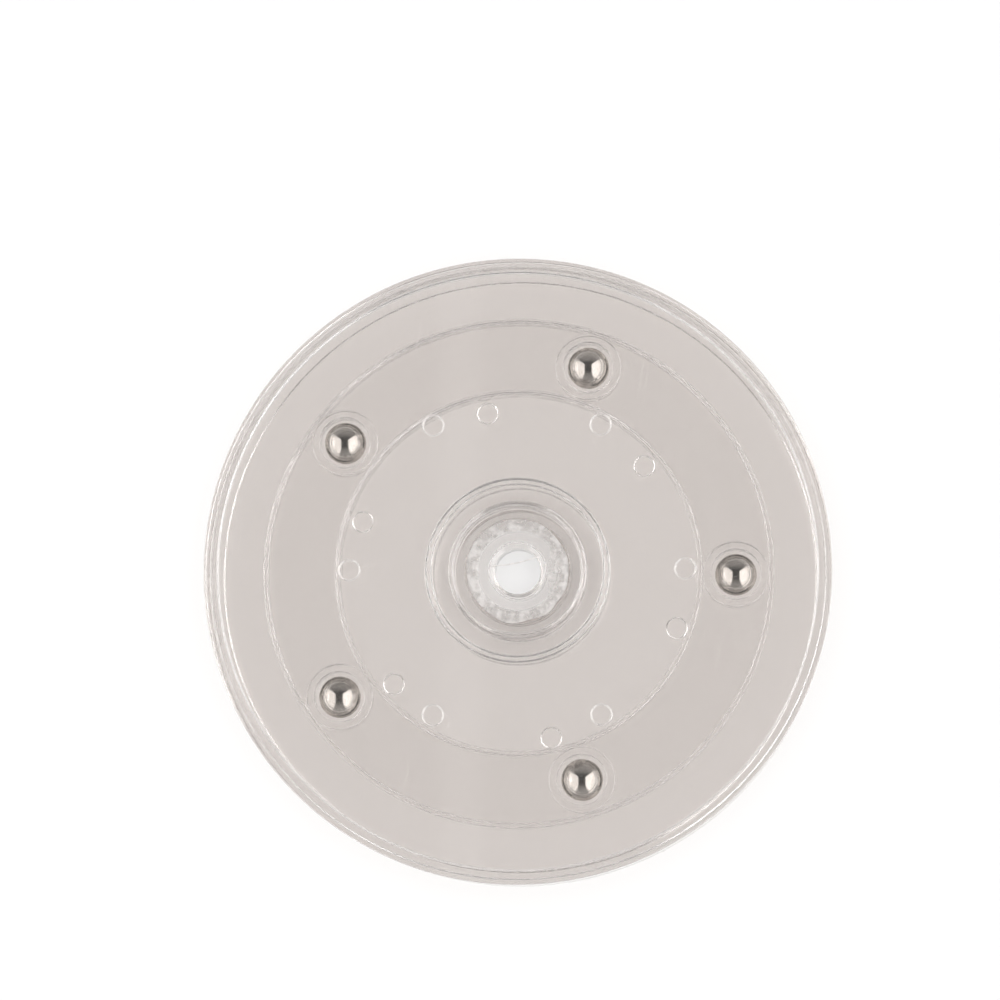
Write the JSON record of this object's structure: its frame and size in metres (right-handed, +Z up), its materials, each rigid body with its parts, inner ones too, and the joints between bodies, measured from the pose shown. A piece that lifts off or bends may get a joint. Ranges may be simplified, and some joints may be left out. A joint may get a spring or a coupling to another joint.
{
  "type": "turntable display stand",
  "caption": "Clear round display turntable: a lipped upper plate spins on steel balls in a ring cage over a matching lower plate, joined by a hollow centre spindle.",
  "frame": {"origin": "middle of the standing face, on the axis of rotation", "axes": "+Z up along the axis of rotation; +X is the picture's right and +Y its top, with the stand seen from above"},
  "size_m": [0.12, 0.12, 0.0137],
  "materials": {
    "clear_plate": "clear moulded polystyrene, polished, lightly scratched",
    "clear_cage": "clear moulded polystyrene, polished",
    "clear_hub": "clear moulded polystyrene, clouded by cement at the joint",
    "ball_steel": "mirror-polished bearing steel"
  },
  "bodies": {
    "base": {"base_plate": "clear_plate", "centre_spindle": "clear_hub", "retaining_collar": "clear_hub"},
    "top": {"top_plate": "clear_plate"},
    "cage": {"ball_cage": "clear_cage"},
    "ball_1": {"steel_ball_1": "ball_steel"},
    "ball_2": {"steel_ball_2": "ball_steel"},
    "ball_3": {"steel_ball_3": "ball_steel"},
    "ball_4": {"steel_ball_4": "ball_steel"},
    "ball_5": {"steel_ball_5": "ball_steel"}
  },
  "joints": [
    {"name": "top_spin", "type": "hinge", "parent": "base", "child": "top", "pos_m": [0, 0, 0.00685], "axis": [0, 0, 1], "continuous": true},
    {"name": "cage_spin", "type": "hinge", "parent": "base", "child": "cage", "pos_m": [0, 0, 0.00685], "axis": [0, 0, 1], "continuous": true},
    {"name": "ball_1_roll", "type": "hinge", "parent": "cage", "child": "ball_1", "pos_m": [0.04174, -0.00073, 0.00685], "axis": [0.9998, -0.0175, 0], "continuous": true},
    {"name": "ball_2_roll", "type": "hinge", "parent": "cage", "child": "ball_2", "pos_m": [0.01359, 0.03948, 0.00685], "axis": [0.3256, 0.9455, 0], "continuous": true},
    {"name": "ball_3_roll", "type": "hinge", "parent": "cage", "child": "ball_3", "pos_m": [-0.03334, 0.02513, 0.00685], "axis": [-0.7986, 0.6018, 0], "continuous": true},
    {"name": "ball_4_roll", "type": "hinge", "parent": "cage", "child": "ball_4", "pos_m": [-0.0342, -0.02395, 0.00685], "axis": [-0.8192, -0.5736, 0], "continuous": true},
    {"name": "ball_5_roll", "type": "hinge", "parent": "cage", "child": "ball_5", "pos_m": [0.01221, -0.03993, 0.00685], "axis": [0.2924, -0.9563, 0], "continuous": true}
  ],
  "couplings": [
    {"joint": "cage_spin", "follows": "top_spin", "ratio": 0.5},
    {"joint": "ball_1_roll", "follows": "top_spin", "ratio": -5.2188},
    {"joint": "ball_2_roll", "follows": "top_spin", "ratio": -5.2188},
    {"joint": "ball_3_roll", "follows": "top_spin", "ratio": -5.2188},
    {"joint": "ball_4_roll", "follows": "top_spin", "ratio": -5.2188},
    {"joint": "ball_5_roll", "follows": "top_spin", "ratio": -5.2188}
  ]
}
